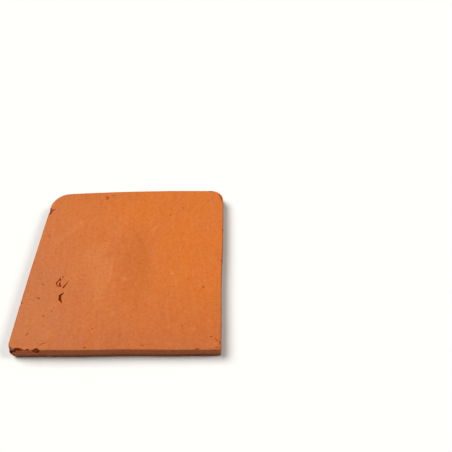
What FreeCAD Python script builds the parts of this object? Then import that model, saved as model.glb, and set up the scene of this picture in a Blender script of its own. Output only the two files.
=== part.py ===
"""Hand-pressed square terracotta floor tile, lying on its bed with the walking face up.

The tile is one piece of fired clay. A slab is pressed in a frame, so its four sides bow a little, stand back
unequally at their ends, and each corner has a roundness of its own. The top is struck off by hand, so it
isn't flat: it is thicker to the left, droops towards its corners and is slightly dished in the middle. The
edges of the top and of the bed are soft. The far right corner is worn rounder at the top, the near left one
is broken off at the top, and clay has chipped off the near edge beside it.

Millimetres, +Z up. The origin is the middle of the bed. Left is -X and near is -Y, as seen from above.
"""
import FreeCAD, Part
import math
import os

from FreeCAD import Vector

# Overall size
tile_length = 200.0
tile_width = 200.0
tile_thickness = 15.1

# How far each side stands back from the straight at its two ends
near_side_left_back = 0.3
near_side_right_back = 0.2
right_side_near_back = 0.2
right_side_far_back = 0.8
far_side_right_back = 0.9
far_side_left_back = 4.0
left_side_far_back = 0.9
left_side_near_back = 0.4

# Roundness of each corner in plan, at the bed and, where it is worn, at the top
near_left_radius = 3.0
near_right_radius = 2.0
far_left_radius = 20.0
far_right_radius = 9.0
far_right_top_radius = 15.0

# Unevenness of the struck top, in height
left_rise = 1.2
far_droop = 0.1
corner_droop = 0.4
middle_dish = 0.6

# Roundness of the soft edges round the top and the bed
top_edge_radius = 0.8
bed_edge_radius = 1.4

# The break at the near left corner: how far in it starts on the top, and how far down the corner it goes
corner_break_reach = 4.7
corner_break_depth = 5.0

# The chips off the near edge: along the edge, over the top, down the side, and from the left end of the tile
corner_chip_length = 10.0
corner_chip_reach = 1.6
corner_chip_depth = 2.8
corner_chip_from_left = 8.6
edge_chip_length = 7.0
edge_chip_reach = 1.2
edge_chip_depth = 6.0
edge_chip_from_left = 28.5

# The frame's sides, and the corners of the slab before they are rounded
half_length = tile_length / 2
half_width = tile_width / 2
near_left = Vector(left_side_near_back - half_length, near_side_left_back - half_width)
near_right = Vector(half_length - right_side_near_back, near_side_right_back - half_width)
far_right = Vector(half_length - right_side_far_back, half_width - far_side_right_back)
far_left = Vector(left_side_far_back - half_length, half_width - far_side_left_back)


def top_height(x, y):
    """Height of the struck top above the bed at a place in plan."""
    across = x / half_length
    along = y / half_width
    wedge = left_rise * across + far_droop * along
    droop = corner_droop * (across * along) ** 2
    dish = middle_dish * (1 - across ** 2) * (1 - along ** 2)
    return tile_thickness - wedge - droop - dish


def bowed_side(start, end, control):
    """One side, from corner to corner, bowed towards a point outside it."""
    bow = Part.BezierCurve()
    bow.setPoles([start, control, end])
    return bow.toShape()


def plan_outline():
    """The inside of the frame: four bowed sides, before the corners are rounded.

    A side that stands back at its ends touches the frame's straight line between them when it is drawn
    towards a point as far outside that line as the geometric mean of the two.
    """
    near_y = -half_width - math.sqrt(near_side_left_back * near_side_right_back)
    right_x = half_length + math.sqrt(right_side_near_back * right_side_far_back)
    far_y = half_width + math.sqrt(far_side_right_back * far_side_left_back)
    left_x = -half_length - math.sqrt(left_side_far_back * left_side_near_back)
    sides = [
        bowed_side(near_left, near_right, Vector((near_left.x + near_right.x) / 2, near_y)),
        bowed_side(near_right, far_right, Vector(right_x, (near_right.y + far_right.y) / 2)),
        bowed_side(far_right, far_left, Vector((far_right.x + far_left.x) / 2, far_y)),
        bowed_side(far_left, near_left, Vector(left_x, (far_left.y + near_left.y) / 2)),
    ]
    return Part.Wire(sides)


def pressed_slab(height):
    """The slab as it leaves the frame, with a flat top and rounded upright edges."""
    slab = Part.Face(plan_outline()).extrude(Vector(0, 0, height))
    corners = [
        (near_left, near_left_radius, near_left_radius),
        (near_right, near_right_radius, near_right_radius),
        (far_left, far_left_radius, far_left_radius),
        (far_right, far_right_radius, far_right_top_radius),
    ]
    for corner, bed_radius, top_radius in corners:
        middle = corner + Vector(0, 0, height / 2)
        upright = min(slab.Edges, key=lambda edge: edge.CenterOfMass.distanceToPoint(middle))
        worn = (top_radius - bed_radius) * height / tile_thickness
        slab = slab.makeFillet(bed_radius, bed_radius + worn, [upright])
    return slab


def struck_clay(height):
    """The clay above the uneven top, which the striker takes off."""
    past_edge = 1.1
    steps = 4
    places = [past_edge * (2 * i / steps - 1) for i in range(steps + 1)]
    plan = [[(half_length * a, half_width * b) for b in places] for a in places]
    top = Part.BSplineSurface()
    top.interpolate([[Vector(x, y, top_height(x, y)) for x, y in row] for row in plan])
    return top.toShape().extrude(Vector(0, 0, height))


def softened(slab):
    """The slab with the edges of its bed, and then of its top, rounded."""
    middle = tile_thickness / 2
    bed_edges = [edge for edge in slab.Edges if edge.BoundBox.ZMax < middle]
    slab = slab.makeFillet(bed_edge_radius, bed_edges)
    top_edges = [edge for edge in slab.Edges if edge.BoundBox.ZMin > middle]
    return slab.makeFillet(top_edge_radius, top_edges)


def corner_break():
    """The clay broken off the near left corner, above a flat that slopes from the top down to the corner."""
    inwards = Vector(1, 1).normalize()
    across = Vector(1, -1).normalize()
    corner = near_left + Vector(0, 0, top_height(near_left.x, near_left.y))
    start = corner + inwards * corner_break_reach
    end = corner + inwards * near_left_radius * (math.sqrt(2) - 1) - Vector(0, 0, corner_break_depth)
    past_end = end + (end - start)
    past_start = start + (start - end)
    outside = Vector(past_end.x, past_end.y, past_start.z)
    section = Part.makePolygon([past_start, past_end, outside, past_start])
    half_span = across * tile_thickness
    section.translate(-half_span)
    return Part.Face(section).extrude(2 * half_span)


def near_edge_chip(from_left, length, reach, depth):
    """The ball of clay that a chip takes off the near edge of the top.

    The ball is the one that cuts the edge over the chip's length, the top over its reach and the side over
    its depth, where the edge is taken as square.
    """
    half = length / 2
    out = (half ** 2 - reach ** 2) / (2 * reach)
    up = (half ** 2 - depth ** 2) / (2 * depth)
    radius = math.sqrt(half ** 2 + out ** 2 + up ** 2)
    x = from_left - half_length
    return Part.makeSphere(radius, Vector(x, -half_width - out, top_height(x, -half_width) + up))


def tile():
    """The finished tile: pressed, struck off, softened, broken and chipped."""
    spare_height = 2 * tile_thickness
    slab = softened(pressed_slab(spare_height).cut(struck_clay(spare_height)))
    chips = [
        near_edge_chip(corner_chip_from_left, corner_chip_length, corner_chip_reach, corner_chip_depth),
        near_edge_chip(edge_chip_from_left, edge_chip_length, edge_chip_reach, edge_chip_depth),
    ]
    return slab.cut([corner_break(), *chips]).Solids[0]


os.makedirs("parts", exist_ok=True)
tile().exportStep("parts/terracotta_tile.step")
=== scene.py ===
import math

import bmesh
import bpy
from mathutils import Matrix, Vector


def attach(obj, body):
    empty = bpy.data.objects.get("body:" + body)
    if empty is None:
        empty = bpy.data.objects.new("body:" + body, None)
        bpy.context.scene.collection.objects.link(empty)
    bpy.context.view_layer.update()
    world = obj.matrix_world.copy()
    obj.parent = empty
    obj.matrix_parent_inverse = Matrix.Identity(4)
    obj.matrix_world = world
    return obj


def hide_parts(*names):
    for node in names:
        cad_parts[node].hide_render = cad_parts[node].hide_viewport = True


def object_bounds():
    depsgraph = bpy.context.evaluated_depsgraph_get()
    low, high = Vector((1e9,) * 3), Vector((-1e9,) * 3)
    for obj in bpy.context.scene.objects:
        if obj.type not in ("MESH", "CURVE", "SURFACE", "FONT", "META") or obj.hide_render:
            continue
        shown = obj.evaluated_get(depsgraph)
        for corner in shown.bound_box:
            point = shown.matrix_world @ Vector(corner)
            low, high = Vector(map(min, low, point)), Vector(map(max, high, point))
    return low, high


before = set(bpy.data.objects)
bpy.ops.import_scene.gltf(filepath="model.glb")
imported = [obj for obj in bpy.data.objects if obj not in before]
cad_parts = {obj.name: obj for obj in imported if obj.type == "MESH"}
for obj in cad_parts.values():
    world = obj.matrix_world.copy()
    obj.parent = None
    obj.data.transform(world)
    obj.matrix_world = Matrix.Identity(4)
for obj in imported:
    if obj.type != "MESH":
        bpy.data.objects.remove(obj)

CAD_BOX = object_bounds()
CAD_NODE = "terracotta_tile"
MM = 0.001

# Fineness of the modelled clay, about how many triangles the finished tile has, and where it is shaded sharp
BLANK_VOXEL = 0.45 * MM
MERGE_GAP = 0.001 * MM
MEND_GAP = 0.01 * MM
TRIANGLES = 190_000
SHARP_ANGLE = math.radians(50)

# Unevenness of the hand-struck skin, by the names of the tree's inputs
SKIN = {
    "Wave Height": 0.14 * MM,
    "Wave Length": 42 * MM,
    "Strike Height": 0.04 * MM,
    "Strike Length": 150 * MM,
    "Strike Width": 7 * MM,
    "Strike Bearing": math.radians(-62),
    "Lump Height": 0.2 * MM,
    "Lump Length": 16 * MM,
    "Drag Height": 0.1 * MM,
    "Drag Length": 28 * MM,
    "Drag Width": 1.8 * MM,
    "Dent Height": 0.4 * MM,
    "Dent Length": 9 * MM,
    "Edge Wear": 0.45 * MM,
    "Wear Length": 5 * MM,
    "Near Hollow Depth": 0.5 * MM,
    "Near Hollow Place": 14 * MM,
    "Near Hollow Reach": 45 * MM,
    "Right Hollow Depth": 0.9 * MM,
    "Right Hollow Place": -25 * MM,
    "Right Hollow Reach": 60 * MM,
    "Spur Height": 0.55 * MM,
    "Spur Reach": 5 * MM,
}

# Which way the surface faces, by its normal's upward part: where the top, the bed and the sides start, and
# where they are all there is. What is between them is edge.
TOP_FACING = (0.8, 0.97)
BED_FACING = (-0.8, -0.97)
SIDE_FACING = (0.75, 0.25)

# Where a side's hollow starts and where it is full, from the middle of the tile
HOLLOW_FADE = (60 * MM, 100 * MM)

# How thick the noise is where dents and wear start, and where they are deepest
DENT_FADE = (0.45, 0.8)
WEAR_FADE = (0.48, 0.8)

# Where the near left corner stands out below its break, and the way it does
SPUR_PLACE = (-98.8 * MM, -98.8 * MM, 7.5 * MM)
SPUR_BEARING = (-math.sqrt(0.5), -math.sqrt(0.5), 0.0)

# Small holes left by grit and air, by the names of the tree's inputs
PINHOLES = {
    "Spacing": 4.5 * MM,
    "Holes per Area": 6000.0,
    "Least Radius": 0.1 * MM,
    "Most Radius": 0.33 * MM,
    "Raggedness": 0.2 * MM,
    "Crumb Length": 0.6 * MM,
    "Seed": 7,
}

# A pinhole's ball before it is sized and made ragged, and how much rarer the large ones are
PINHOLE_BALL = {"Radius": 1.0, "Segments": 8, "Rings": 5}
PINHOLE_RARITY = 3.0

# How clay is lost along the strokes below: in rough breaks, and in small pits and scratches
BREAKS = {"Ball Spacing": 0.25 * MM, "Voxel": 0.2 * MM, "Crumb Length": 1.5 * MM, "Raggedness": 0.8 * MM}
PITS = {"Ball Spacing": 0.1 * MM, "Voxel": 0.1 * MM, "Crumb Length": 0.7 * MM, "Raggedness": 0.4 * MM}

# How full the melted balls are where the surface of the lost clay is laid
MELT_LEVEL = 0.1

# The way out of the clay at the top, the near side and the broken corner
UP = Vector((0, 0, 1))
NEARWARDS = Vector((0, -1, 0))
CORNERWARDS = Vector((-1, -1, 1)).normalized()

# Strokes on the top, in millimetres: place from the middle of the tile, how far the middle of the hollow
# stands above the clay, and the hollow's radius
TOP_BREAKS = {
    "left_notch": [(-99.8, 73.4, 0.2, 1.2), (-99.2, 70.8, 0.0, 1.8), (-99.3, 68.0, 0.2, 1.5),
                   (-99.7, 65.8, 0.3, 1.0)],
    "left_nick": [(-98.8, -50.0, 0.1, 0.9), (-99.8, -50.4, 0.0, 1.2)],
    "right_nick": [(99.0, -0.2, 0.1, 0.6), (100.0, -0.4, 0.0, 0.9)],
    "right_scuff": [(99.8, 39.6, 0.2, 0.5), (99.8, 41.2, 0.2, 0.5)],
    "far_dip": [(82.4, 99.8, 0.6, 1.0), (84.6, 99.6, 0.6, 1.3), (86.6, 99.8, 0.6, 1.0)],
}
TOP_PITS = {
    "flake_head": [(-66.5, -20.8, 0.15, 0.5), (-66.0, -22.3, -0.2, 0.75), (-65.4, -23.9, -0.1, 0.7)],
    "flake_spot": [(-64.1, -18.8, 0.25, 0.55), (-63.7, -20.0, 0.25, 0.6)],
    "flake_arc": [(-67.1, -22.5, 0.25, 0.5), (-67.7, -24.1, 0.15, 0.65), (-68.5, -25.7, 0.1, 0.7),
                  (-68.8, -27.4, 0.0, 0.75), (-68.2, -28.9, 0.2, 0.6), (-67.2, -30.2, 0.3, 0.5),
                  (-66.2, -30.9, 0.25, 0.5)],
    "flake_heel": [(-64.9, -26.0, 0.2, 0.55), (-65.6, -27.1, -0.1, 0.8), (-65.0, -29.0, 0.0, 0.8),
                   (-64.1, -30.7, -0.1, 0.8)],
    "flake_toe": [(-65.5, -29.8, 0.25, 0.5), (-65.9, -30.9, 0.2, 0.6)],
    "scratch": [(-60.8, -32.1, -0.1, 0.8), (-60.2, -30.6, -0.1, 0.75), (-59.5, -29.4, 0.0, 0.65),
                (-59.1, -28.8, 0.3, 0.5), (-58.6, -27.8, 0.1, 0.55), (-58.2, -26.8, 0.3, 0.45),
                (-57.9, -26.0, 0.15, 0.5), (-57.5, -25.0, 0.3, 0.4)],
    "scratch_tail": [(-57.2, -24.4, 0.25, 0.42), (-56.6, -23.5, 0.3, 0.4)],
    "scratch_end": [(-54.9, -21.7, 0.3, 0.42), (-54.0, -20.3, 0.34, 0.4)],
    "wedge_tail": [(-59.2, -38.4, 0.2, 0.6), (-60.0, -39.6, 0.0, 0.8), (-60.9, -40.5, -0.2, 1.0),
                   (-62.4, -41.1, 0.1, 0.85)],
    "wedge": [(-62.3, -41.4, 0.0, 1.05), (-61.7, -42.7, -0.3, 1.35), (-61.5, -44.5, -0.5, 1.5),
              (-61.4, -46.0, -0.4, 1.35), (-60.4, -47.1, -0.3, 1.2), (-59.3, -48.4, 0.15, 0.8),
              (-58.9, -50.0, 0.3, 0.5)],
    "crack_branch": [(-93.0, 73.1, 0.15, 0.5), (-94.9, 72.2, -0.1, 0.65), (-96.1, 70.4, -0.2, 0.8),
                     (-96.7, 68.4, -0.1, 0.75), (-97.0, 66.6, 0.0, 0.75), (-98.2, 65.2, 0.1, 0.65)],
    "crack_upper": [(-98.2, 74.2, 0.2, 0.6), (-97.2, 71.8, 0.0, 0.65), (-96.2, 70.6, 0.0, 0.65)],
    "far_ring": [(-37.2, 90.4, 0.18, 0.4), (-35.9, 91.3, 0.08, 0.5), (-34.4, 90.4, 0.04, 0.52),
                 (-34.1, 88.4, 0.08, 0.48), (-35.2, 87.4, 0.18, 0.42), (-36.8, 88.4, 0.25, 0.38)],
    "corner_crack": [(94.8, 92.6, 0.1, 0.45), (96.1, 90.5, 0.0, 0.55), (97.3, 87.8, -0.1, 0.6),
                     (98.1, 85.3, -0.1, 0.6), (98.9, 82.9, 0.1, 0.5)],
    "near_nick": [(77.0, -99.4, 0.2, 0.5), (78.4, -99.5, 0.2, 0.65), (79.4, -99.4, 0.2, 0.5)],
    "near_pit": [(-27.4, -97.6, 0.2, 0.44), (-25.6, -97.2, 0.2, 0.44)],
    "near_line": [(-69.2, -94.5, 0.2, 0.36), (-66.9, -93.2, 0.22, 0.36), (-63.9, -92.8, 0.26, 0.36)],
    "corner_line": [(94.7, -88.6, 0.25, 0.4), (96.8, -91.3, 0.28, 0.38)],
    "corner_edge": [(98.6, -91.4, 0.2, 0.45), (99.6, -93.5, 0.2, 0.5)],
    "dashes": [(25.2, -95.6, 0.22, 0.33), (28.6, -95.1, 0.22, 0.33)],
    "corner_lip": [(-92.2, -98.6, 0.4, 0.8), (-90.8, -98.7, 0.4, 0.9), (-88.6, -98.6, 0.4, 0.95),
                   (-86.9, -98.6, 0.4, 0.85), (-85.4, -99.2, 0.4, 0.65)],
    "arris_pit": [(-80.4, -99.4, 0.2, 0.6), (-79.6, -99.4, 0.0, 0.85)],
    "chip_left_bump": [(-74.0, -98.9, 0.3, 0.6), (-73.4, -98.8, 0.3, 0.6)],
    "chip_right_bump": [(-71.2, -98.9, 0.3, 0.6), (-70.6, -98.8, 0.3, 0.6)],
}

# Single small pits in the top: place in millimetres, bearing in degrees, length and radius in millimetres
TOP_SPECKS = [
    (-82.9, -44.5, 165, 1.5, 0.65), (-85.4, -43.8, 170, 1.4, 0.3), (-66.6, -58.7, 120, 0.9, 0.42),
    (-73.5, -64.3, 145, 2.0, 0.36), (-60.4, -55.0, 60, 0.6, 0.3), (-22.8, -78.1, 110, 1.2, 0.36),
    (-84.3, -83.9, 55, 2.6, 0.46), (-82.4, -28.5, 155, 2.4, 0.4), (-87.5, -14.2, 100, 0.8, 0.32),
    (54.1, 73.1, 130, 1.0, 0.55), (40.9, 62.9, 20, 1.6, 0.58), (35.2, 33.8, 80, 1.4, 0.36),
    (81.6, -32.6, 25, 2.4, 0.45), (-91.0, 35.6, 110, 1.0, 0.4), (-90.0, 32.8, 110, 1.0, 0.36),
    (17.4, -84.3, 90, 0.7, 0.36), (90.9, -86.6, 5, 1.6, 0.48), (96.0, -97.5, 30, 0.8, 0.5),
    (97.8, -97.2, 70, 0.7, 0.42), (-28.4, 93.2, 40, 1.0, 0.48), (-88.0, 82.0, 20, 0.8, 0.32),
    (14.0, -3.0, 70, 0.8, 0.3), (24.6, -8.4, 30, 0.7, 0.3), (2.4, 4.6, 140, 0.9, 0.32),
    (9.6, 42.0, 60, 0.6, 0.3), (62.8, -76.0, 10, 0.8, 0.3), (-55.0, -29.6, 40, 0.5, 0.26),
    (-53.8, -30.6, 70, 0.5, 0.26),
]

# Strokes on the near side, in millimetres: place from the middle along the side, height, how far the middle
# of the hollow stands out of the clay, and the hollow's radius
NEAR_BREAKS = {
    "base_wear": [(-97.0, 0.2, 0.3, 1.6), (-94.5, 0.2, 0.2, 2.4), (-91.5, 0.2, 0.2, 2.5),
                  (-88.5, 0.1, 0.3, 2.2), (-85.8, 0.0, 0.6, 1.5)],
    "base_notch": [(-64.8, 0.4, 0.2, 0.9), (-62.6, 0.6, 0.2, 0.8)],
}
NEAR_PITS = {
    "corner_upper_side": [(-91.2, 15.5, 0.1, 0.9), (-90.0, 15.5, 0.0, 1.0), (-88.2, 15.5, 0.0, 1.0),
                          (-86.4, 15.6, 0.1, 0.85), (-84.6, 15.8, 0.2, 0.65)],
    "corner_lower_side": [(-89.4, 14.8, 0.4, 0.8), (-87.8, 14.8, 0.4, 0.85), (-86.0, 15.0, 0.5, 0.75)],
    "edge_chip": [(-76.2, 14.9, 0.5, 0.7), (-75.0, 13.9, 0.5, 0.95), (-73.8, 12.0, 0.6, 1.05),
                  (-72.4, 11.3, 0.6, 1.1), (-71.2, 11.9, 0.6, 1.0), (-70.3, 13.9, 0.6, 0.85)],
    "chip_middle": [(-74.2, 14.8, 0.6, 0.9), (-72.6, 13.6, 0.7, 1.0), (-71.0, 14.0, 0.7, 1.0)],
    "chip_pit": [(-72.8, 15.2, 0.0, 0.7), (-71.8, 15.0, -0.2, 0.8)],
    "arris_side": [(-79.5, 15.4, 0.1, 0.8), (-79.5, 15.2, -1.0, 0.8)],
    "arris_spot": [(-81.6, 15.7, 0.1, 0.55), (-80.5, 15.6, 0.0, 0.65)],
    "face_pit": [(8.6, 12.4, 0.0, 0.6), (9.8, 12.2, 0.0, 0.6)],
    "left_mark": [(-57.4, 14.6, 0.15, 0.45), (-58.0, 12.4, 0.2, 0.42)],
    "right_mark": [(-54.5, 14.6, 0.1, 0.5), (-55.1, 12.4, 0.15, 0.45)],
    "face_dent": [(-49.6, 6.4, 0.2, 0.5), (-48.2, 6.2, 0.2, 0.5)],
    "face_scrape": [(54.2, 12.0, 0.2, 0.45), (57.0, 11.9, 0.2, 0.45)],
    "face_nick": [(66.4, 11.8, 0.2, 0.45), (68.2, 11.7, 0.2, 0.45)],
    "corner_spot": [(93.8, 12.9, 0.1, 0.55), (95.0, 12.8, 0.1, 0.5)],
}

# Grooves in the near left corner, cut in a dark clay that is painted shade, in the same form
NEAR_GROOVES = {
    "corner_groove": [(-94.4, 13.3, -0.3, 0.9), (-95.4, 12.4, -0.6, 1.1), (-96.6, 11.4, -0.5, 1.05),
                      (-97.4, 10.6, -0.3, 0.9)],
    "corner_slot": [(-91.9, 15.2, -0.2, 0.8), (-92.3, 14.4, -0.5, 1.0), (-92.8, 13.2, -0.5, 1.0),
                    (-93.1, 12.4, -0.2, 0.8)],
}

# Strokes on the broken near left corner, in millimetres: place from the middle of the bed, how far the
# middle of the hollow stands out of the clay, and the hollow's radius
CORNER_BREAKS = {
    "upper_flat": [(-96.9, -97.2, 14.4, 1.0, 1.6), (-94.8, -99.0, 14.9, 1.0, 1.7)],
    "lower_flat": [(-98.6, -97.2, 13.0, 0.9, 1.5), (-97.8, -97.8, 13.1, 0.8, 1.6),
                   (-96.2, -99.3, 13.1, 0.9, 1.6)],
    "lower_edge": [(-98.6, -98.0, 11.6, 0.7, 1.0), (-97.4, -98.9, 11.4, 0.6, 1.0)],
    "left_flat": [(-99.8, -96.8, 12.2, 0.8, 1.5), (-99.6, -97.8, 11.0, 0.6, 1.5)],
    "right_flat": [(-94.4, -98.8, 15.2, 0.6, 1.3), (-93.4, -99.3, 14.9, 0.6, 1.3),
                   (-93.0, -99.6, 14.2, 0.7, 1.2)],
    "foot": [(-99.4, -97.0, 0.2, 0.9, 1.5), (-98.6, -98.6, 0.3, 0.8, 2.0), (-97.0, -99.4, 0.2, 0.9, 1.7)],
}
# Pits in the broken corner, in the same dark clay of painted shade
CORNER_PITS = {
    "rim_pit": [(-97.6, -98.4, 12.4, 0.1, 0.6), (-97.3, -98.9, 10.6, -0.4, 0.9),
                (-96.4, -99.2, 10.6, -0.4, 0.9)],
}


def srgb(red, green, blue):
    """A colour as it is seen, from 0 to 255, in the linear numbers that shaders use."""
    seen = [level / 255 for level in (red, green, blue)]
    return tuple(c / 12.92 if c <= 0.04045 else ((c + 0.055) / 1.055) ** 2.4 for c in seen) + (1.0,)


# Colours of the fired clay
CLAY_PINK = srgb(203, 118, 70)
CLAY_ORANGE = srgb(218, 117, 47)
# The deeper tone and the near rim's tone are partly the clay's own and partly painted shade
CLAY_DEEP = srgb(201, 108, 54)
CLAY_NEAR_RIM = srgb(197, 111, 61)
CLAY_BROWN = srgb(196, 106, 48)
CLAY_SLIP = srgb(222, 137, 74)
CLAY_YELLOW = srgb(221, 134, 60)
# The sides' colours are darker than the top's, partly as the clay's own and partly as painted shade
CLAY_SIDE = srgb(186, 104, 60)
CLAY_SIDE_DARK = srgb(164, 89, 52)
# Painted shade, laid at the sides' foot towards the floor and along the left edge of the top
CLAY_PAINTED_SHADE = srgb(104, 56, 37)
# Pale dust on the rounded edges, partly painted highlight; also the pale lime in broken clay
CLAY_DUST_AND_HIGHLIGHT = srgb(222, 142, 100)
CLAY_BED = srgb(206, 132, 90)
CLAY_BED_PALE = srgb(222, 160, 118)
# Clay broken open in pits and pinholes: its own red, darkened partly as painted shade in the hollows
CLAY_RAW_AND_SHADE = srgb(172, 72, 14)
CLAY_RAW_AND_SHADE_DARK = srgb(120, 38, 2)
CLAY_WEATHERED = srgb(170, 102, 76)
CLAY_WEATHERED_DARK = srgb(136, 74, 50)
# Painted shade: the dark clay in the near left corner's grooves and pits
CLAY_GROOVE_SHADE = srgb(120, 60, 46)
CLAY_GROOVE_SHADE_DARK = srgb(76, 30, 28)
GRIT_DARK = srgb(150, 76, 36)
LIME_PALE = srgb(236, 172, 122)

# Shifts of the clay's colour in linear red, green and blue: where it was fired warmer, and in a pale bloom
WARMER = (0.036, 0.006, -0.01)
BLOOM = (1.2, 1.8, 1.0)

# Lengths of the patterns in the fired skin. Those with three lengths are drawn out along one axis or two.
GRAIN_LENGTH = 1.1 * MM
DAPPLE_LENGTH = 3.2 * MM
MOTTLE_LENGTH = 7 * MM
PATCH_LENGTH = 20 * MM
BROAD_LENGTH = 70 * MM
PATCH_STRETCH = (1.0, 2.4, 1.0)
BRUSH_LENGTHS = (3 * MM, 26 * MM, 26 * MM)
RIM_STREAK_LENGTHS = (34 * MM, 2.2 * MM, 34 * MM)
STREAK_LENGTHS = (24 * MM, 24 * MM, 1.3 * MM)
ORIGIN = (0, 0, 0)
UNTURNED = (0, 0, 0)
BRUSH_BEARING = (0, 0, math.radians(5))

# Tones of the top: how far their borders drift, how much the far side counts for warmth beside the right,
# and the browner band over the middle
TONE_DRIFT = 30 * MM
FAR_WARMTH = 0.6
BAND_MIDDLE = (9 * MM, -6 * MM, 0)
BAND_BEARING = (0, 0, math.radians(8))
BAND_LENGTHS = (22 * MM, 55 * MM, 1.0)
BAND_WOBBLE = 0.5

# Where each tone of the fired skin starts to show and where it is full: places, or levels of a pattern
FADES = {
    "warm": (-170 * MM, 100 * MM),
    # Partly painted shade: darker to the near right, and at the far left and near rims
    "deep_near": (0.0, -120 * MM),
    "deep_right": (-120 * MM, 60 * MM),
    "band": (1.2, 0.3),
    "far_rim": (72 * MM, 96 * MM),
    "far_rim_left": (30 * MM, -20 * MM),
    "near_rim": (-78 * MM, -97 * MM),
    "rim_streaks": (0.3, 0.8),
    "streaks": (0.45, 0.8),
    # Painted shade at the sides' foot, darker towards the floor
    "foot": (8.5 * MM, -0.5 * MM),
    # Dust on the rounded edges, partly painted highlight
    "dust_and_highlight": (0.25, 0.6),
    # Painted shade along the left edge of the top, where its rounded edge turns from the light
    "left_shade_edge": (-98.6 * MM, -99.4 * MM),
    "left_shade": (0.2, 0.55),
}
# How far the edge of the painted shade at the foot wobbles
FOOT_SHADE_WOBBLE = 1.5 * MM

# How strongly each of them shows
# The foot's darkening and the left edge's dark fringe are painted shade, and the edges' pale dust is partly
# painted highlight
SHARES = {"band": 0.48, "far_rim": 0.3, "near_rim": 0.9, "foot": 0.85, "dust_and_highlight": 0.3, "left_shade": 0.35,
          "grit": 0.45, "lime": 0.25}

# Light and dark speckle: what each pattern adds, and how far that shifts the tone and the bloom
SPECKLE = {"grain": 0.6, "dapple": 0.6, "mottle": 0.25, "brushed": 0.25}
SPECKLE_DEPTH = 0.1
BLOOM_DEPTH = 0.032

# Roughness, relief and gloss of the fired skin: its own level, and what each pattern adds
ROUGHNESS = {"skin": 0.88, "grain": 0.1, "slip": -0.12, "bed": 0.06}
RELIEF = {"dapple": 0.8, "grit": -0.6, "streaks": 1.5, "blotches": 1.5}
SKIN_BUMP = {"Strength": 0.6, "Distance": 0.16 * MM}
SKIN_GLOSS = 0.2

# Broken clay: lengths of its grain and clouds, levels of cloud between its two colours, share of lime, how
# much the grain changes its lightness and roughness, its relief and its gloss
BROKEN_GRAIN = 0.5 * MM
BROKEN_CLOUD = 3 * MM
BROKEN_FADE = (0.35, 0.65)
BROKEN_LIME = 0.5
BROKEN_SPECKLE = 0.3
BROKEN_ROUGHNESS = {"clay": 0.92, "grain": 0.08}
BROKEN_BUMP = {"Strength": 0.8, "Distance": 0.25 * MM}
BROKEN_GLOSS = 0.05

# Specks in the clay: the shift of their pattern, their spacing in grains and their radius in spacings.
# Each cell of the pattern has a chance from 0 to 1: a low one gives no speck, and the others grow with it.
SPECKS = {"Grit": (0.0, 4.0, 0.16), "Lime": (0.5, 5.0, 0.13)}
SPECK_CHANCE = 0.5
SPECK_SIZES = (0.45, 1.0)

# Levels of cloud at which a blotch starts and is full
BLOTCH_FADE = (0.54, 0.66)

# Wiped slip: how far its outline wobbles, how wide its head and its crisp edge are, and its streaks
SLIP_WOBBLE = 9 * MM
SLIP_HEAD = 5 * MM
SLIP_EDGE = 2.5 * MM
SLIP_STREAKS = (26 * MM, 7 * MM, 7 * MM)
SLIP_STREAK_FADE = (0.1, 0.75)

# Slip wiped over the top: tip in millimetres, bearing of the tail in degrees, length and width in
# millimetres, how much its head slants back, and its share
SMEARS = {
    "upper_left_wipe": ((-52, 55), 233, 66, 13, 0.0, 0.42),
    "middle_wipe": ((-17, 31), 250, 78, 32, 0.6, 0.38),
    "long_wipe": ((-12.5, 9), 267, 92, 28, 0.3, 0.38),
    "far_wipe": ((-4, 66), 258, 46, 20, 0.0, 0.16),
}

# Pale and yellowish spots on the top: middle and width in millimetres, share
PALE_SPOTS = [
    ((0, -23), 5.5, 0.55), ((49, -16), 5, 0.8), ((25, 44), 5, 0.5), ((44, 46), 4, 0.35),
    ((74, -78), 5, 0.3), ((55, -24), 9, 0.25), ((-67.3, -27.3), 1.6, 0.6),
]
YELLOW_SPOTS = [
    ((86, 77), 9, 0.45), ((-62, -84), 10, 0.35), ((-7, -62), 9, 0.45), ((95, -94), 5, 0.5),
    ((-65, -50), 8, 0.25), ((-96, 80), 4, 0.7), ((17, 79), 7, 0.25),
]

# The photograph's camera: focal length and frame in pixels, place in metres, and aim in degrees
FOCAL_PIXELS = 493.5
FRAME_PIXELS = 452
SENSOR_WIDTH = 36.0
CAMERA_PLACE = (0.12340, -0.29547, 0.43706)
CAMERA_HEADING = 3.373
CAMERA_PITCH = 51.069
CAMERA_ROLL = -3.580

# Studio light: a wide soft lamp above, a little behind and to the left, a smaller one to the right, and an
# even room. A lamp has a strength, a spread, and how far it leans to the back and to the right, in degrees.
LAMPS = {"key": (2.70, 40, 18, -32), "right": (1.2, 20, 5, 48)}
ROOM_LIGHT = 0.056
ROOM_WHITE = (1.0, 1.0, 1.0, 1.0)
FLOOR_SEEN = srgb(254, 254, 250)
FLOOR_BOUNCE = srgb(230, 230, 226)
FLOOR_REACH = 12.0


# Node tree helpers, for shapes and materials alike

def join(tree, value, socket):
    """Feeds a socket from another node's output, or sets it to a plain value."""
    if isinstance(value, bpy.types.NodeSocket):
        tree.links.new(value, socket)
    else:
        socket.default_value = value


def add(tree, kind, inputs=(), **settings):
    """A new node with its settings made and its inputs joined or set, by name or number."""
    node = tree.nodes.new(kind)
    for name, value in settings.items():
        setattr(node, name, value)
    for name, value in dict(inputs).items():
        join(tree, value, node.inputs[name])
    return node


def maths(tree, operation, *values):
    """One sum on plain numbers."""
    return add(tree, "ShaderNodeMath", enumerate(values), operation=operation).outputs[0]


def vectors(tree, operation, *values):
    """One sum on places or directions, with a vector as its result."""
    return add(tree, "ShaderNodeVectorMath", enumerate(values), operation=operation).outputs["Vector"]


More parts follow.
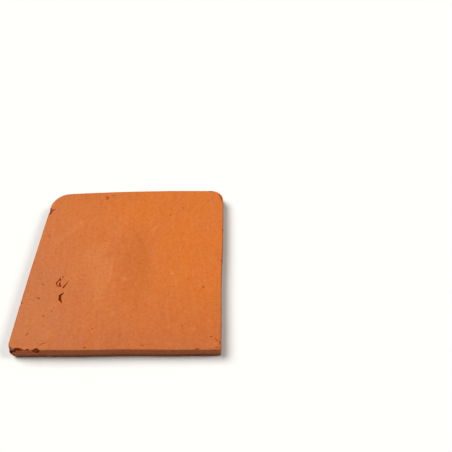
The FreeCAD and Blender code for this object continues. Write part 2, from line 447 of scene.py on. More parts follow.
def scaled(tree, vector, factor):
    """A vector made longer or shorter by a number."""
    inputs = {"Vector": vector, "Scale": factor}
    return add(tree, "ShaderNodeVectorMath", inputs, operation="SCALE").outputs["Vector"]


def measure(tree, operation, *values):
    """One sum on places or directions, with a number as its result."""
    return add(tree, "ShaderNodeVectorMath", enumerate(values), operation=operation).outputs["Value"]


def triple(tree, x, y, z):
    """A vector from three numbers."""
    return add(tree, "ShaderNodeCombineXYZ", {"X": x, "Y": y, "Z": z}).outputs[0]


def noise(tree, place, length, detail=3.0, roughness=0.5, output="Fac"):
    """Cloudy noise from 0 to 1, with lumps of about that length."""
    scale = 1.0 / length if isinstance(length, float) else maths(tree, "DIVIDE", 1.0, length)
    inputs = {"Vector": place, "Scale": scale, "Detail": detail, "Roughness": roughness}
    return add(tree, "ShaderNodeTexNoise", inputs).outputs[output]


def swing(tree, value, height):
    """Noise from 0 to 1 turned into a rise and fall of that height about 0."""
    doubled = maths(tree, "MULTIPLY_ADD", value, 2.0, -1.0)
    return product(tree, doubled, height)


def shaken(tree, colour, reach):
    """Coloured noise turned into a shift in any direction, of up to about half that reach."""
    return scaled(tree, vectors(tree, "SUBTRACT", colour, (0.5, 0.5, 0.5)), reach)


def fade(tree, value, start, end):
    """0 where the value is at start, 1 where it is at end, and smooth between."""
    inputs = {"Value": value, "From Min": start, "From Max": end}
    return add(tree, "ShaderNodeMapRange", inputs, interpolation_type="SMOOTHSTEP").outputs["Result"]


def total(tree, *values):
    """The sum of several numbers."""
    result = values[0]
    for value in values[1:]:
        result = maths(tree, "ADD", result, value)
    return result


def product(tree, *values):
    """Several numbers multiplied together."""
    result = values[0]
    for value in values[1:]:
        result = maths(tree, "MULTIPLY", result, value)
    return result


# Shapes

def new_object(name, data):
    """An object at the origin with a mesh, a lamp or a camera."""
    piece = bpy.data.objects.new(name, data)
    bpy.context.scene.collection.objects.link(piece)
    return piece


def finished_mesh(piece):
    """The piece's mesh with its modifiers worked in, which are then removed."""
    graph = bpy.context.evaluated_depsgraph_get()
    mesh = bpy.data.meshes.new_from_object(piece.evaluated_get(graph), depsgraph=graph)
    piece.modifiers.clear()
    return mesh


def worked_by(piece, tree, values):
    """The mesh that a Geometry Nodes tree makes of a piece, with the tree's inputs set by name."""
    modifier = piece.modifiers.new(tree.name, "NODES")
    modifier.node_group = tree
    for item in tree.interface.items_tree:
        if item.in_out == "INPUT" and item.name in values:
            modifier[item.identifier] = values[item.name]
    return finished_mesh(piece)


def shape_tree(name, sizes):
    """A Geometry Nodes tree with a geometry and named sizes as inputs: (tree, its inputs)."""
    tree = bpy.data.node_groups.new(name, "GeometryNodeTree")
    kinds = {float: "NodeSocketFloat", int: "NodeSocketInt", bpy.types.Material: "NodeSocketMaterial"}
    tree.interface.new_socket("Geometry", in_out="INPUT", socket_type="NodeSocketGeometry")
    for label, value in sizes.items():
        tree.interface.new_socket(label, in_out="INPUT", socket_type=kinds[type(value)])
    tree.interface.new_socket("Geometry", in_out="OUTPUT", socket_type="NodeSocketGeometry")
    return tree, tree.nodes.new("NodeGroupInput").outputs


def end_tree(tree, geometry, material):
    """Realizes what the tree made, gives it its material and puts it out."""
    real = add(tree, "GeometryNodeRealizeInstances", {"Geometry": geometry}).outputs[0]
    dressed = add(tree, "GeometryNodeSetMaterial", {"Geometry": real, "Material": material}).outputs[0]
    join(tree, dressed, tree.nodes.new("NodeGroupOutput").inputs[0])


def made_ragged(tree, geometry, size):
    """A shape whose surface is shifted about in crumbs."""
    place = add(tree, "GeometryNodeInputPosition").outputs[0]
    crumbs = noise(tree, place, size["Crumb Length"], 3.0, output="Color")
    shift = shaken(tree, crumbs, size["Raggedness"])
    return add(tree, "GeometryNodeSetPosition", {"Geometry": geometry, "Offset": shift}).outputs[0]


def pressed_blank():
    """The slab as it leaves the frame: the CAD solid, merged and remeshed evenly enough to be worked on."""
    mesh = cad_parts[CAD_NODE].data.copy()
    work = bmesh.new()
    work.from_mesh(mesh)
    bmesh.ops.remove_doubles(work, verts=work.verts, dist=MERGE_GAP)
    work.to_mesh(mesh)
    work.free()
    blank = new_object("clay_tile", mesh)
    remesh = blank.modifiers.new("even_mesh", "REMESH")
    remesh.mode = "VOXEL"
    remesh.voxel_size = BLANK_VOXEL
    blank.data = finished_mesh(blank)
    return blank


def side_hollow(tree, size, label, along, towards):
    """How far a side is pressed in: deepest at one place, and fading out over the slab behind it."""
    away = maths(tree, "ABSOLUTE", maths(tree, "SUBTRACT", along, size[label + " Place"]))
    beside = fade(tree, away, size[label + " Reach"], 0.0)
    behind = fade(tree, towards, *HOLLOW_FADE)
    return product(tree, beside, behind, size[label + " Depth"])


def skin_tree(sizes):
    """The hand-struck skin: a wavy top, dragged and lumpy sides, a dented bed and worn edges."""
    tree, size = shape_tree("hand_struck_skin", sizes)
    place = add(tree, "GeometryNodeInputPosition").outputs[0]
    normal = add(tree, "GeometryNodeInputNormal").outputs[0]
    spot = add(tree, "ShaderNodeSeparateXYZ", {"Vector": place}).outputs
    up = add(tree, "ShaderNodeSeparateXYZ", {"Vector": normal}).outputs["Z"]
    top = fade(tree, up, *TOP_FACING)
    bed = fade(tree, up, *BED_FACING)
    side = fade(tree, maths(tree, "ABSOLUTE", up), *SIDE_FACING)
    edge = maths(tree, "SUBTRACT", 1.0, total(tree, top, bed, side))

    waves = swing(tree, noise(tree, place, size["Wave Length"], 2.0), size["Wave Height"])
    turn = {"Vector": place, "Angle": size["Strike Bearing"]}
    turned = add(tree, "ShaderNodeVectorRotate", turn).outputs[0]
    strike_grain = triple(tree, size["Strike Length"], size["Strike Width"], size["Strike Length"])
    marks = noise(tree, vectors(tree, "DIVIDE", turned, strike_grain), 1.0, 3.0, 0.6)
    struck = total(tree, waves, swing(tree, marks, size["Strike Height"]))

    lumps = swing(tree, noise(tree, place, size["Lump Length"], 3.0), size["Lump Height"])
    drag_grain = triple(tree, size["Drag Length"], size["Drag Length"], size["Drag Width"])
    drag = noise(tree, vectors(tree, "DIVIDE", place, drag_grain), 1.0, 4.0, 0.6)
    pressed = total(tree, lumps, swing(tree, drag, size["Drag Height"]))

    dents = noise(tree, place, size["Dent Length"], 4.0, 0.55)
    sunk = product(tree, fade(tree, dents, *DENT_FADE), size["Dent Height"], -1.0)

    crumbs = noise(tree, place, size["Wear Length"], 4.0, 0.6)
    worn = product(tree, fade(tree, crumbs, *WEAR_FADE), size["Edge Wear"], -1.0)

    shapes = ((top, struck), (side, pressed), (bed, sunk), (edge, worn))
    height = total(tree, *(product(tree, mask, shape) for mask, shape in shapes))
    near_in = side_hollow(tree, size, "Near Hollow", spot["X"], product(tree, spot["Y"], -1.0))
    right_in = side_hollow(tree, size, "Right Hollow", spot["Y"], spot["X"])
    hollows = triple(tree, product(tree, right_in, -1.0), near_in, 0.0)
    from_spur = measure(tree, "DISTANCE", place, SPUR_PLACE)
    spur = product(tree, fade(tree, from_spur, size["Spur Reach"], 0.0), size["Spur Height"])
    shift = vectors(tree, "ADD", scaled(tree, normal, height), hollows)
    shift = vectors(tree, "ADD", shift, scaled(tree, SPUR_BEARING, spur))
    marked = size["Geometry"]
    for label, mask in {"side": side, "bed": bed, "edge": edge}.items():
        inputs = {"Geometry": marked, "Name": label, "Value": mask}
        marked = add(tree, "GeometryNodeStoreNamedAttribute", inputs, domain="POINT").outputs[0]
    moved = add(tree, "GeometryNodeSetPosition", {"Geometry": marked, "Offset": shift}).outputs[0]
    end_tree(tree, moved, size["Clay"])
    return tree


def pinhole_tree(sizes):
    """Small ragged balls scattered over the tile, to be taken out of it as pinholes."""
    tree, size = shape_tree("pinholes", sizes)
    scatter = add(tree, "GeometryNodeDistributePointsOnFaces", {
        "Mesh": size["Geometry"],
        "Distance Min": size["Spacing"],
        "Density Max": size["Holes per Area"],
        "Seed": size["Seed"],
    }, distribute_method="POISSON")
    chance = add(tree, "FunctionNodeRandomValue", {"Seed": size["Seed"]}, data_type="FLOAT").outputs[1]
    span = maths(tree, "SUBTRACT", size["Most Radius"], size["Least Radius"])
    rarer = maths(tree, "POWER", chance, PINHOLE_RARITY)
    radius = maths(tree, "MULTIPLY_ADD", rarer, span, size["Least Radius"])
    ball = add(tree, "GeometryNodeMeshUVSphere", PINHOLE_BALL).outputs[0]
    holes = add(tree, "GeometryNodeInstanceOnPoints", {
        "Points": scatter.outputs["Points"],
        "Instance": ball,
        "Scale": triple(tree, radius, radius, radius),
    }).outputs[0]
    balls = add(tree, "GeometryNodeRealizeInstances", {"Geometry": holes}).outputs[0]
    end_tree(tree, made_ragged(tree, balls, size), size["Clay"])
    return tree


def hollow_tree(name, sizes):
    """The clay lost along drawn strokes: balls strung along each, melted into one body and made ragged."""
    tree, size = shape_tree(name, sizes)
    strokes = add(tree, "GeometryNodeMeshToCurve", {"Mesh": size["Geometry"]}).outputs[0]
    string = {"Curve": strokes, "Length": size["Ball Spacing"]}
    strung = add(tree, "GeometryNodeCurveToPoints", string, mode="LENGTH")
    girth = add(tree, "GeometryNodeInputNamedAttribute", {"Name": "girth"}, data_type="FLOAT").outputs[0]
    volume = add(tree, "GeometryNodePointsToVolume", {
        "Points": strung.outputs["Points"],
        "Voxel Size": size["Voxel"],
        "Radius": girth,
    }, resolution_mode="VOXEL_SIZE").outputs[0]
    melt = {"Volume": volume, "Threshold": MELT_LEVEL}
    body = add(tree, "GeometryNodeVolumeToMesh", melt, resolution_mode="GRID").outputs[0]
    end_tree(tree, made_ragged(tree, body, size), size["Clay"])
    return tree


def top_strokes(strokes):
    """Strokes on the top: rough places, the way out of the clay, how far out, and the radius there."""
    high = CAD_BOX[1].z
    return [[(Vector((x * MM, y * MM, high)), UP, lift, girth) for x, y, lift, girth in points]
            for points in strokes.values()]


def near_strokes(strokes):
    """Strokes on the near side, in the same form."""
    near = CAD_BOX[0].y
    return [[(Vector((x * MM, near, z * MM)), NEARWARDS, lift, girth) for x, z, lift, girth in points]
            for points in strokes.values()]


def corner_strokes(strokes):
    """Strokes on the broken near left corner, in the same form."""
    return [[(Vector((x, y, z)) * MM, CORNERWARDS, lift, girth) for x, y, z, lift, girth in points]
            for points in strokes.values()]


def speck_strokes(specks):
    """Short strokes for the single pits, in the form that top_strokes takes."""
    strokes = {}
    for number, (x, y, bearing, length, girth) in enumerate(specks):
        half_x = math.cos(math.radians(bearing)) * length / 2
        half_y = math.sin(math.radians(bearing)) * length / 2
        strokes[number] = [(x - half_x, y - half_y, 0.1, 0.8 * girth), (x, y, 0.0, girth),
                           (x + half_x, y + half_y, 0.1, 0.7 * girth)]
    return strokes


def lost_clay(tile, name, strokes, sizes):
    """The body of clay lost along strokes, each of whose points is first set on the clay nearest to it."""
    places, edges, girths = [], [], []
    for stroke in strokes:
        first = len(places)
        for rough_place, outward, lift, girth in stroke:
            _, place, _, _ = tile.closest_point_on_mesh(rough_place)
            places.append(place + outward * lift * MM)
            girths.append(girth * MM)
        edges += [(i, i + 1) for i in range(first, len(places) - 1)]
    mesh = bpy.data.meshes.new(name)
    mesh.from_pydata(places, edges, [])
    mesh.attributes.new("girth", "FLOAT", "POINT").data.foreach_set("value", girths)
    drawn = new_object(name, mesh)
    body = worked_by(drawn, hollow_tree(name, sizes), sizes)
    bpy.data.objects.remove(drawn)
    return body


def cut_out(tile, losses):
    """Takes the lost clay out of the tile. The broken faces keep the lost clay's material."""
    cutters = [new_object("lost_clay", mesh) for mesh in losses]
    for cutter in cutters:
        cut = tile.modifiers.new(cutter.name, "BOOLEAN")
        cut.operation = "DIFFERENCE"
        cut.solver = "MANIFOLD"
        cut.material_mode = "TRANSFER"
        cut.object = cutter
    tile.data = finished_mesh(tile)
    for cutter in cutters:
        bpy.data.objects.remove(cutter)


def stray_faces(work):
    """Faces that lie folded on a neighbour with the same corners, or hang on by one edge at most."""
    strays = []
    for face in work.faces:
        corners = set(face.verts)
        neighbours = [other for edge in face.edges for other in edge.link_faces if other is not face]
        folded = any(set(other.verts) == corners for other in neighbours)
        rims = sum(edge.is_boundary for edge in face.edges)
        if folded or rims >= len(face.edges) - 1:
            strays.append(face)
    return strays


def mend_slits(mesh):
    """Makes triangles of the thinned clay, takes out its stray faces and closes its hair-thin slits."""
    work = bmesh.new()
    work.from_mesh(mesh)
    bmesh.ops.remove_doubles(work, verts=work.verts, dist=MEND_GAP)
    bmesh.ops.dissolve_degenerate(work, edges=work.edges, dist=MEND_GAP)
    bmesh.ops.triangulate(work, faces=work.faces)
    strays = stray_faces(work)
    while strays:
        bmesh.ops.delete(work, geom=strays, context="FACES")
        strays = stray_faces(work)
    bmesh.ops.delete(work, geom=[point for point in work.verts if not point.link_faces], context="VERTS")
    bmesh.ops.holes_fill(work, edges=[edge for edge in work.edges if edge.is_boundary], sides=0)
    bmesh.ops.triangulate(work, faces=work.faces)
    work.to_mesh(mesh)
    work.free()


def thinned(tile):
    """Takes spare triangles out of the flatter clay, and smooths the shading but for the broken rims."""
    mesh = tile.data
    mesh.calc_loop_triangles()
    thin = tile.modifiers.new("thin", "DECIMATE")
    thin.ratio = min(1.0, TRIANGLES / len(mesh.loop_triangles))
    tile.data = finished_mesh(tile)
    mend_slits(tile.data)
    tile.data.shade_smooth()
    tile.data.set_sharp_from_angle(angle=SHARP_ANGLE)


# Effects shared by the materials

def colour_mix(tree, share, first, second):
    """The first colour where the share is 0, the second where it is 1."""
    return add(tree, "ShaderNodeMix", {0: share, 6: first, 7: second}, data_type="RGBA").outputs[2]


def turned_place(tree, place, lengths, bearing=UNTURNED, middle=ORIGIN):
    """A place seen from a middle, along a bearing, and in a pattern's own lengths."""
    inputs = {"Vector": place, "Location": middle, "Rotation": bearing, "Scale": lengths}
    return add(tree, "ShaderNodeMapping", inputs, vector_type="TEXTURE").outputs[0]


def effect(name, places, numbers, outputs):
    """A shader node group with named inputs and number outputs: (group, its inputs, its outputs)."""
    group = bpy.data.node_groups.new(name, "ShaderNodeTree")
    for label in places:
        group.interface.new_socket(label, in_out="INPUT", socket_type="NodeSocketVector")
    for label in numbers:
        group.interface.new_socket(label, in_out="INPUT", socket_type="NodeSocketFloat")
    for label in outputs:
        group.interface.new_socket(label, in_out="OUTPUT", socket_type="NodeSocketFloat")
    return group, group.nodes.new("NodeGroupInput").outputs, group.nodes.new("NodeGroupOutput").inputs


def placed(tree, group, **inputs):
    """An effect put into a material with its own values: its outputs."""
    values = {label.replace("_", " ").title(): value for label, value in inputs.items()}
    return add(tree, "ShaderNodeGroup", values, node_tree=group).outputs


def clay_grain():
    """Fine sandy grain, with dark grit and pale lime specks scattered through the clay."""
    group, given, result = effect("clay_grain", ["Place"], ["Fineness"], ["Grain", *SPECKS])
    join(group, noise(group, given["Place"], given["Fineness"], 4.0, 0.6), result["Grain"])
    for label, (aside, spacing, radius) in SPECKS.items():
        place = vectors(group, "ADD", given["Place"], (aside, aside, aside))
        scale = maths(group, "DIVIDE", 1.0, product(group, given["Fineness"], spacing))
        cells = add(group, "ShaderNodeTexVoronoi", {"Vector": place, "Scale": scale}).outputs
        chance = add(group, "ShaderNodeSeparateColor", {"Color": cells["Color"]}).outputs["Red"]
        reach = product(group, fade(group, chance, *SPECK_SIZES), radius)
        speck = fade(group, cells["Distance"], reach, product(group, reach, 0.5))
        there = maths(group, "GREATER_THAN", chance, SPECK_CHANCE)
        join(group, product(group, speck, there), result[label])
    return group


def clay_cloud():
    """Soft clouds of tone and, where they are thickest, blotches."""
    group, given, result = effect("clay_cloud", ["Place"], ["Length"], ["Cloud", "Blotch"])
    shift = noise(group, given["Place"], given["Length"], 2.0, output="Color")
    warped = vectors(group, "ADD", given["Place"], shaken(group, shift, given["Length"]))
    cloud = noise(group, warped, given["Length"], 3.0, 0.55)
    join(group, cloud, result["Cloud"])
    join(group, fade(group, cloud, *BLOTCH_FADE), result["Blotch"])
    return group


def slip_smear():
    """Wiped slip: crisp at its tip and along one edge, and streaky and fading towards its tail."""
    numbers = ["Length", "Width", "Slant"]
    group, given, result = effect("slip_smear", ["Place", "Tip", "Bearing"], numbers, ["Slip"])
    local = turned_place(group, given["Place"], (1.0, 1.0, 1.0), given["Bearing"], given["Tip"])
    wobble = noise(group, given["Place"], SLIP_WOBBLE, 3.0, 0.6, output="Color")
    wobbly = vectors(group, "ADD", local, shaken(group, wobble, SLIP_WOBBLE))
    spot = add(group, "ShaderNodeSeparateXYZ", {"Vector": wobbly}).outputs
    left = product(group, spot["Y"], -1.0)
    slanted = maths(group, "SUBTRACT", spot["X"], product(group, left, given["Slant"]))
    head = fade(group, slanted, 0.0, SLIP_HEAD)
    tail = fade(group, spot["X"], given["Length"], product(group, given["Length"], 0.2))
    crisp = fade(group, left, 0.0, SLIP_EDGE)
    soft = fade(group, left, given["Width"], product(group, given["Width"], 0.3))
    streak_place = turned_place(group, local, SLIP_STREAKS)
    streaks = fade(group, noise(group, streak_place, 1.0, 3.0, 0.55), *SLIP_STREAK_FADE)
    join(group, product(group, head, tail, crisp, soft, streaks), result["Slip"])
    return group


def soft_spot():
    """One uneven spot."""
    group, given, result = effect("soft_spot", ["Place", "Middle"], ["Width"], ["Spot"])
    away = vectors(group, "SUBTRACT", given["Place"], given["Middle"])
    reach = product(group, given["Width"], 0.6)
    wobble = noise(group, given["Place"], reach, 3.0, 0.6, output="Color")
    far = measure(group, "LENGTH", vectors(group, "ADD", away, shaken(group, wobble, given["Width"])))
    join(group, fade(group, far, reach, product(group, reach, 0.2)), result["Spot"])
    return group


# Materials

def new_material(name):
    """A material with a Principled shader: (material, tree, shader, Object coordinates)."""
    material = bpy.data.materials.new(name)
    material.use_nodes = True
    tree = material.node_tree
    shader = tree.nodes["Principled BSDF"]
    return material, tree, shader, add(tree, "ShaderNodeTexCoord").outputs["Object"]


def mark(tree, label):
    """A mask stored on the tile."""
    return add(tree, "ShaderNodeAttribute", attribute_name=label).outputs["Fac"]


def skin_patterns(tree, place, grain_group, cloud_group):
    """The patterns that the fired skin is made of, by name."""
    wiped = turned_place(tree, place, PATCH_STRETCH, BRUSH_BEARING)
    brush_place = turned_place(tree, place, BRUSH_LENGTHS, BRUSH_BEARING)
    rim_streak_place = turned_place(tree, place, RIM_STREAK_LENGTHS)
    streak_place = turned_place(tree, place, STREAK_LENGTHS)
    fine = placed(tree, grain_group, place=place, fineness=GRAIN_LENGTH)
    patches = placed(tree, cloud_group, place=wiped, length=PATCH_LENGTH)
    return {
        "grain": fine["Grain"],
        "grit": fine["Grit"],
        "lime": fine["Lime"],
        "broad": placed(tree, cloud_group, place=place, length=BROAD_LENGTH)["Cloud"],
        "patches": patches["Cloud"],
        "blotches": patches["Blotch"],
        "mottle": placed(tree, cloud_group, place=wiped, length=MOTTLE_LENGTH)["Cloud"],
        "dapple": noise(tree, place, DAPPLE_LENGTH, 3.0, 0.6),
        "brushed": noise(tree, brush_place, 1.0, 3.0, 0.55),
        "rim_streaks": noise(tree, rim_streak_place, 1.0, 3.0, 0.55),
        "streaks": noise(tree, streak_place, 1.0, 4.0, 0.6),
    }


def fired_tone(tree, place, spot, pattern):
    """The top's tones: pinkish to orange, deeper to the near right, a browner band and rims. The deeper near
    right and the rims are partly the clay's tone and partly painted shade.
    """
    drift = swing(tree, pattern["broad"], TONE_DRIFT)
    right = total(tree, spot["X"], drift)
    far = total(tree, spot["Y"], drift)
    warm = fade(tree, total(tree, right, product(tree, far, FAR_WARMTH)), *FADES["warm"])
    tone = colour_mix(tree, warm, CLAY_PINK, CLAY_ORANGE)
    # Partly painted shade: darker to the near right
    deep = product(tree, fade(tree, far, *FADES["deep_near"]), fade(tree, right, *FADES["deep_right"]))
    tone = colour_mix(tree, deep, tone, CLAY_DEEP)
    tone = vectors(tree, "ADD", tone, scaled(tree, WARMER, swing(tree, pattern["patches"], 1.0)))

    from_band = measure(tree, "LENGTH", turned_place(tree, place, BAND_LENGTHS, BAND_BEARING, BAND_MIDDLE))
    wobbly = total(tree, from_band, swing(tree, pattern["mottle"], BAND_WOBBLE))
    band = product(tree, fade(tree, wobbly, *FADES["band"]), SHARES["band"])
    tone = colour_mix(tree, band, tone, CLAY_BROWN)
    # Partly painted shade: browner at the far left rim, and darker in streaks at the near rim
    far_rim = fade(tree, spot["Y"], *FADES["far_rim"])
    far_left = fade(tree, right, *FADES["far_rim_left"])
    tone = colour_mix(tree, product(tree, far_rim, far_left, SHARES["far_rim"]), tone, CLAY_BROWN)
    near_rim = fade(tree, spot["Y"], *FADES["near_rim"])
    rim_streaks = fade(tree, pattern["rim_streaks"], *FADES["rim_streaks"])
    return colour_mix(tree, product(tree, near_rim, rim_streaks, SHARES["near_rim"]), tone, CLAY_NEAR_RIM)


def wiped_slip(tree, flat_place, smear_group):
    """How much slip was wiped over each place on the top."""
    slip = 0.0
    for tip, bearing, length, width, slant, share in SMEARS.values():
        smear = placed(tree, smear_group, place=flat_place, tip=(tip[0] * MM, tip[1] * MM, 0), slant=slant,
                       bearing=(0, 0, math.radians(bearing)), length=length * MM, width=width * MM)
        slip = maths(tree, "MAXIMUM", slip, product(tree, smear["Slip"], share))
    return slip


def scattered_spots(tree, flat_place, spots, spot_group):
    """How strongly one kind of spot shows at each place on the top."""
    shown = 0.0
    for middle, width, share in spots:
        middle_place = (middle[0] * MM, middle[1] * MM, 0)
        one = placed(tree, spot_group, place=flat_place, middle=middle_place, width=width * MM)["Spot"]
        shown = maths(tree, "MAXIMUM", shown, product(tree, one, share))
    return shown


def dragged_side_tone(tree, spot, pattern):
    """The sides: dragged in streaks, darkened partly by painted shade, and with painted shade at the foot,
    darker towards the floor.
    """
    # Partly painted shade: the sides are darker than the top
    tone = colour_mix(tree, fade(tree, pattern["streaks"], *FADES["streaks"]), CLAY_SIDE, CLAY_SIDE_DARK)
    # Painted shade: darker towards the floor at the foot
    height = total(tree, spot["Z"], swing(tree, pattern["mottle"], FOOT_SHADE_WOBBLE))
    foot = product(tree, fade(tree, height, *FADES["foot"]), SHARES["foot"])
    return colour_mix(tree, foot, tone, CLAY_PAINTED_SHADE)


def weathered_tone(tree, tone, spot, edge, pattern):
    """A tone with dust and painted highlight on its edges, painted shade along the left edge, grit, lime and
    speckle on it.
    """
    mottle = pattern["mottle"]
    # Pale dust on the rounded edges, partly a painted highlight along them
    dust_and_highlight = product(tree, edge, fade(tree, mottle, *FADES["dust_and_highlight"]), SHARES["dust_and_highlight"])
    tone = colour_mix(tree, dust_and_highlight, tone, CLAY_DUST_AND_HIGHLIGHT)
    # Painted shade: a dark fringe along the left edge of the top
    left_shade = product(tree, fade(tree, spot["X"], *FADES["left_shade_edge"]), fade(tree, mottle, *FADES["left_shade"]),
                    SHARES["left_shade"])
    tone = colour_mix(tree, left_shade, tone, CLAY_PAINTED_SHADE)
    tone = colour_mix(tree, product(tree, pattern["grit"], SHARES["grit"]), tone, GRIT_DARK)
    tone = colour_mix(tree, product(tree, pattern["lime"], SHARES["lime"]), tone, LIME_PALE)
    speckle = total(tree, *(swing(tree, pattern[label], height) for label, height in SPECKLE.items()))
    tone = scaled(tree, tone, maths(tree, "MULTIPLY_ADD", speckle, SPECKLE_DEPTH, 1.0))
    return vectors(tree, "ADD", tone, scaled(tree, BLOOM, product(tree, speckle, BLOOM_DEPTH)))


def fired_clay_skin(grain_group, cloud_group, smear_group, spot_group):
    """The fired skin: drifting tones, wiped slip and spots on the top, dragged sides and a sandy bed."""
    material, tree, shader, place = new_material("fired_clay_skin")
    spot = add(tree, "ShaderNodeSeparateXYZ", {"Vector": place}).outputs
    flat_place = triple(tree, spot["X"], spot["Y"], 0.0)
    side, bed, edge = (mark(tree, label) for label in ("side", "bed", "edge"))
    pattern = skin_patterns(tree, place, grain_group, cloud_group)

    slip = wiped_slip(tree, flat_place, smear_group)
    tone = colour_mix(tree, slip, fired_tone(tree, place, spot, pattern), CLAY_SLIP)
    for spots, colour in ((PALE_SPOTS, CLAY_SLIP), (YELLOW_SPOTS, CLAY_YELLOW)):
        tone = colour_mix(tree, scattered_spots(tree, flat_place, spots, spot_group), tone, colour)
    tone = colour_mix(tree, side, tone, dragged_side_tone(tree, spot, pattern))
    tone = colour_mix(tree, bed, tone, colour_mix(tree, pattern["blotches"], CLAY_BED, CLAY_BED_PALE))
    join(tree, weathered_tone(tree, tone, spot, edge, pattern), shader.inputs["Base Color"])

    rough = total(tree, ROUGHNESS["skin"], swing(tree, pattern["grain"], ROUGHNESS["grain"]),
                  product(tree, slip, ROUGHNESS["slip"]), product(tree, bed, ROUGHNESS["bed"]))
    join(tree, rough, shader.inputs["Roughness"])
    shader.inputs["Specular IOR Level"].default_value = SKIN_GLOSS
    height = total(tree, pattern["grain"], product(tree, pattern["dapple"], RELIEF["dapple"]),
                   product(tree, pattern["grit"], RELIEF["grit"]),
                   product(tree, side, pattern["streaks"], RELIEF["streaks"]),
                   product(tree, bed, pattern["blotches"], RELIEF["blotches"]))
    bump = add(tree, "ShaderNodeBump", {**SKIN_BUMP, "Height": height})
    join(tree, bump.outputs[0], shader.inputs["Normal"])
    return material


def broken_clay(name, pale, dark, grain_group, cloud_group):
    """The coarse clay inside, where it is broken open, in patches of a paler and a darker colour."""
    material, tree, shader, place = new_material(name)
    fine = placed(tree, grain_group, place=place, fineness=BROKEN_GRAIN)
    cloud = placed(tree, cloud_group, place=place, length=BROKEN_CLOUD)["Cloud"]
    tone = colour_mix(tree, fade(tree, cloud, *BROKEN_FADE), dark, pale)
    tone = colour_mix(tree, product(tree, fine["Lime"], BROKEN_LIME), tone, CLAY_DUST_AND_HIGHLIGHT)
    light = total(tree, 1.0, swing(tree, fine["Grain"], BROKEN_SPECKLE))
    join(tree, scaled(tree, tone, light), shader.inputs["Base Color"])
    rough = total(tree, BROKEN_ROUGHNESS["clay"], swing(tree, fine["Grain"], BROKEN_ROUGHNESS["grain"]))
    join(tree, rough, shader.inputs["Roughness"])
    shader.inputs["Specular IOR Level"].default_value = BROKEN_GLOSS
    bump = add(tree, "ShaderNodeBump", {**BROKEN_BUMP, "Height": total(tree, fine["Grain"], cloud)})
    join(tree, bump.outputs[0], shader.inputs["Normal"])
    return material


# The studio

def seen_directly(tree):
    """1 for what the camera sees, also in a gloss or through glass, and 0 for light on its way round."""
    path = add(tree, "ShaderNodeLightPath").outputs
    seen = total(tree, path["Is Camera Ray"], path["Is Glossy Ray"], path["Is Transmission Ray"])
    return maths(tree, "MINIMUM", seen, 1.0)


def studio_floor():
    """A plain pale floor that keeps the tile's shadow."""
    material = bpy.data.materials.new("studio_floor")
    material.use_nodes = True
    tree = material.node_tree
    tree.nodes.clear()
    colour = colour_mix(tree, seen_directly(tree), FLOOR_BOUNCE, FLOOR_SEEN)
    paint = add(tree, "ShaderNodeBsdfDiffuse", {"Color": colour})
    add(tree, "ShaderNodeOutputMaterial", {"Surface": paint.outputs[0]})
    mesh = bpy.data.meshes.new("studio_floor")
    corners = [(x * FLOOR_REACH, y * FLOOR_REACH, 0) for x, y in ((-1, -1), (1, -1), (1, 1), (-1, 1))]
    mesh.from_pydata(corners, [], [(0, 1, 2, 3)])
    mesh.materials.append(material)
    new_object("studio_floor", mesh)


def studio_light():
    """The soft lamps and the even room."""
    for name, (strength, spread, back, right) in LAMPS.items():
        lamp = bpy.data.lights.new(name, "SUN")
        lamp.energy = strength
        lamp.angle = math.radians(spread)
        stand = new_object(name, lamp)
        towards = Vector((math.tan(math.radians(right)), math.tan(math.radians(back)), 1))
        stand.rotation_euler = towards.to_track_quat("Z", "Y").to_euler()
    world = bpy.data.worlds.new("room")
    world.use_nodes = True
    tree = world.node_tree
    tree.nodes.clear()
    levels = {"Value": seen_directly(tree), "To Min": ROOM_LIGHT, "To Max": 1.0}
    level = add(tree, "ShaderNodeMapRange", levels).outputs["Result"]
    room = add(tree, "ShaderNodeBackground", {"Color": ROOM_WHITE, "Strength": level})
    add(tree, "ShaderNodeOutputWorld", {"Surface": room.outputs[0]})
    bpy.context.scene.world = world


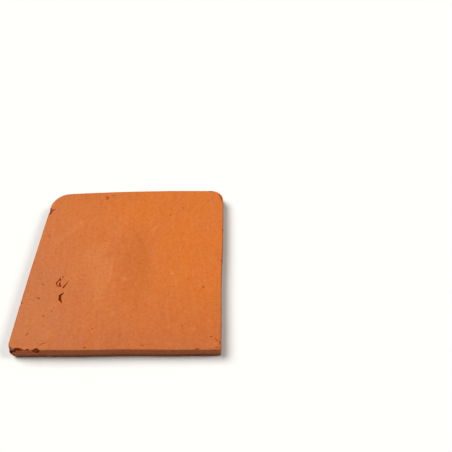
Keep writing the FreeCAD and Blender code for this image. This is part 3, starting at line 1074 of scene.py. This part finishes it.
def photo_camera():
    """The camera at the photograph's place, aim and angle of view."""
    lens = bpy.data.cameras.new("photo_camera")
    lens.sensor_width = SENSOR_WIDTH
    lens.lens = SENSOR_WIDTH * FOCAL_PIXELS / FRAME_PIXELS
    camera = new_object("photo_camera", lens)
    heading = Matrix.Rotation(math.radians(CAMERA_HEADING), 3, "Z")
    pitch = Matrix.Rotation(math.radians(90 - CAMERA_PITCH), 3, "X")
    roll = Matrix.Rotation(math.radians(CAMERA_ROLL), 3, "Z")
    camera.location = CAMERA_PLACE
    camera.rotation_euler = (heading @ pitch @ roll).to_euler()
    bpy.context.scene.camera = camera


def clay_tile():
    """The tile: pressed, struck, broken and thinned."""
    grain_group, cloud_group = clay_grain(), clay_cloud()
    skin = fired_clay_skin(grain_group, cloud_group, slip_smear(), soft_spot())
    # The clay in pits and pinholes is darkened partly as painted shade
    raw_and_shade = broken_clay("raw_clay_and_shade", CLAY_RAW_AND_SHADE, CLAY_RAW_AND_SHADE_DARK, grain_group, cloud_group)
    weathered = broken_clay("weathered_clay", CLAY_WEATHERED, CLAY_WEATHERED_DARK, grain_group, cloud_group)
    # Painted shade: dark clay for the near left corner's grooves and pits
    groove_shade = broken_clay("groove_shade_clay", CLAY_GROOVE_SHADE, CLAY_GROOVE_SHADE_DARK, grain_group, cloud_group)
    tile = pressed_blank()
    values = {**SKIN, "Clay": skin}
    tile.data = worked_by(tile, skin_tree(values), values)
    values = {**PINHOLES, "Clay": raw_and_shade}
    pinholes = worked_by(tile, pinhole_tree(values), values)
    break_strokes = top_strokes(TOP_BREAKS) + near_strokes(NEAR_BREAKS) + corner_strokes(CORNER_BREAKS)
    breaks = lost_clay(tile, "breaks", break_strokes, {**BREAKS, "Clay": weathered})
    cut_out(tile, [pinholes, breaks])
    pit_strokes = top_strokes(TOP_PITS) + top_strokes(speck_strokes(TOP_SPECKS)) + near_strokes(NEAR_PITS)
    pits = lost_clay(tile, "pits", pit_strokes, {**PITS, "Clay": raw_and_shade})
    groove_strokes = near_strokes(NEAR_GROOVES) + corner_strokes(CORNER_PITS)
    grooves = lost_clay(tile, "grooves", groove_strokes, {**PITS, "Clay": groove_shade})
    cut_out(tile, [pits, grooves])
    thinned(tile)
    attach(tile, "root")
    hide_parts(CAD_NODE)


clay_tile()
studio_floor()
studio_light()
photo_camera()
bpy.context.scene.view_settings.view_transform = "Standard"
